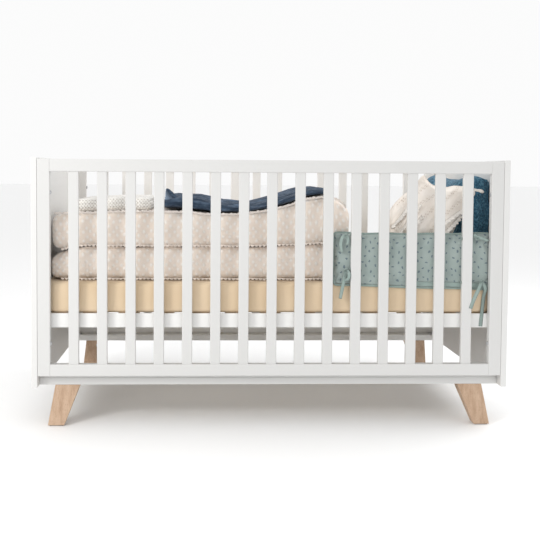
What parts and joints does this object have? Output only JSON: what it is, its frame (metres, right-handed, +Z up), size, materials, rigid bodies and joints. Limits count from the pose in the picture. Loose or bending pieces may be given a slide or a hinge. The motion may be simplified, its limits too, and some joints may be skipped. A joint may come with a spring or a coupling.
{
  "type": "baby crib",
  "caption": "Slatted baby crib with solid end panels, splayed wooden legs, a height-adjustable mattress base, mattress, folded quilts, tied bumper and cushions.",
  "frame": {"origin": "on the floor under the middle of the crib", "axes": "+X along the length to the right, -Y out of the front slatted side, +Z up"},
  "size_m": [1.456, 0.76, 0.82],
  "materials": {
    "white_lacquer": "satin white lacquer on solid beech and board, faint grain, softened edges",
    "oak": "light oak with open grain, matt oil",
    "beech_dowel": "fluted beech, unfinished",
    "birch": "sanded birch, unfinished",
    "zinc_steel": "zinc plated steel",
    "brass_insert": "zinc-yellow threaded sleeve",
    "felt": "pressed grey felt",
    "bumper_binding": "plain sage cotton tape",
    "sage_print": "sage muslin with small dark leaf marks, quilted",
    "mattress_cover": "white quilted mattress ticking",
    "ochre_jersey": "ochre cotton jersey",
    "dotted_cotton": "blush cotton with fine dots, padded",
    "quilt_lace": "white crochet lace edging",
    "cream_knit": "cream chunky knit",
    "navy_muslin": "navy double muslin, crinkled",
    "pillow_cotton": "blush washed cotton",
    "pillow_lace": "white cotton lace ruffle",
    "petrol_fleece": "petrol blue boucle fleece"
  },
  "bodies": {
    "frame": {"left_end_panel": "white_lacquer", "right_end_panel": "white_lacquer", "front_top_rail": "white_lacquer", "front_bottom_rail": "white_lacquer", "front_left_stile": "white_lacquer", "front_right_stile": "white_lacquer", "front_slats": "white_lacquer", "back_top_rail": "white_lacquer", "back_bottom_rail": "white_lacquer", "back_left_stile": "white_lacquer", "back_right_stile": "white_lacquer", "back_slats": "white_lacquer", "front_leg_beam": "white_lacquer", "back_leg_beam": "white_lacquer", "front_batten": "white_lacquer", "back_batten": "white_lacquer", "front_left_leg": "oak", "front_right_leg": "oak", "back_left_leg": "oak", "back_right_leg": "oak", "front_side_dowels": "beech_dowel", "back_side_dowels": "beech_dowel", "leg_dowels": "beech_dowel", "leg_bolts": "zinc_steel", "leg_barrel_nuts": "zinc_steel", "leg_glides": "felt", "beam_brackets": "zinc_steel", "bracket_screws": "zinc_steel", "side_bolts": "zinc_steel", "side_bolt_inserts": "brass_insert", "base_height_inserts": "brass_insert"},
    "base": {"base_front_rail": "white_lacquer", "base_back_rail": "white_lacquer", "base_left_rail": "white_lacquer", "base_right_rail": "white_lacquer", "base_corner_dowels": "beech_dowel", "base_slats": "birch", "slat_screws": "zinc_steel", "height_bolts": "zinc_steel", "bumper_ties": "bumper_binding"},
    "mattress_body": {"mattress": "mattress_cover", "fitted_sheet": "ochre_jersey"},
    "bumper_body": {"bumper": "sage_print"},
    "quilts_body": {"lower_quilt": "dotted_cotton", "upper_quilt": "dotted_cotton", "knitted_blanket": "cream_knit", "muslin_wrap": "navy_muslin"},
    "cushions_body": {"lace_pillow": "pillow_cotton", "fleece_cushion": "petrol_fleece"}
  },
  "joints": [
    {"name": "base_height", "type": "slide", "parent": "frame", "child": "base", "axis": [0, 0, 1], "range_m": [-0.128, 0.128]},
    {"name": "mattress_lift", "type": "slide", "parent": "base", "child": "mattress_body", "axis": [0, 0, 1], "range_m": [0, 0.5]},
    {"name": "bumper_lift", "type": "slide", "parent": "mattress_body", "child": "bumper_body", "axis": [0, 0, 1], "range_m": [0, 0.4]},
    {"name": "quilts_lift", "type": "slide", "parent": "mattress_body", "child": "quilts_body", "axis": [0, 0, 1], "range_m": [0, 0.4]},
    {"name": "cushions_lift", "type": "slide", "parent": "mattress_body", "child": "cushions_body", "axis": [0, 0, 1], "range_m": [0, 0.4]}
  ]
}
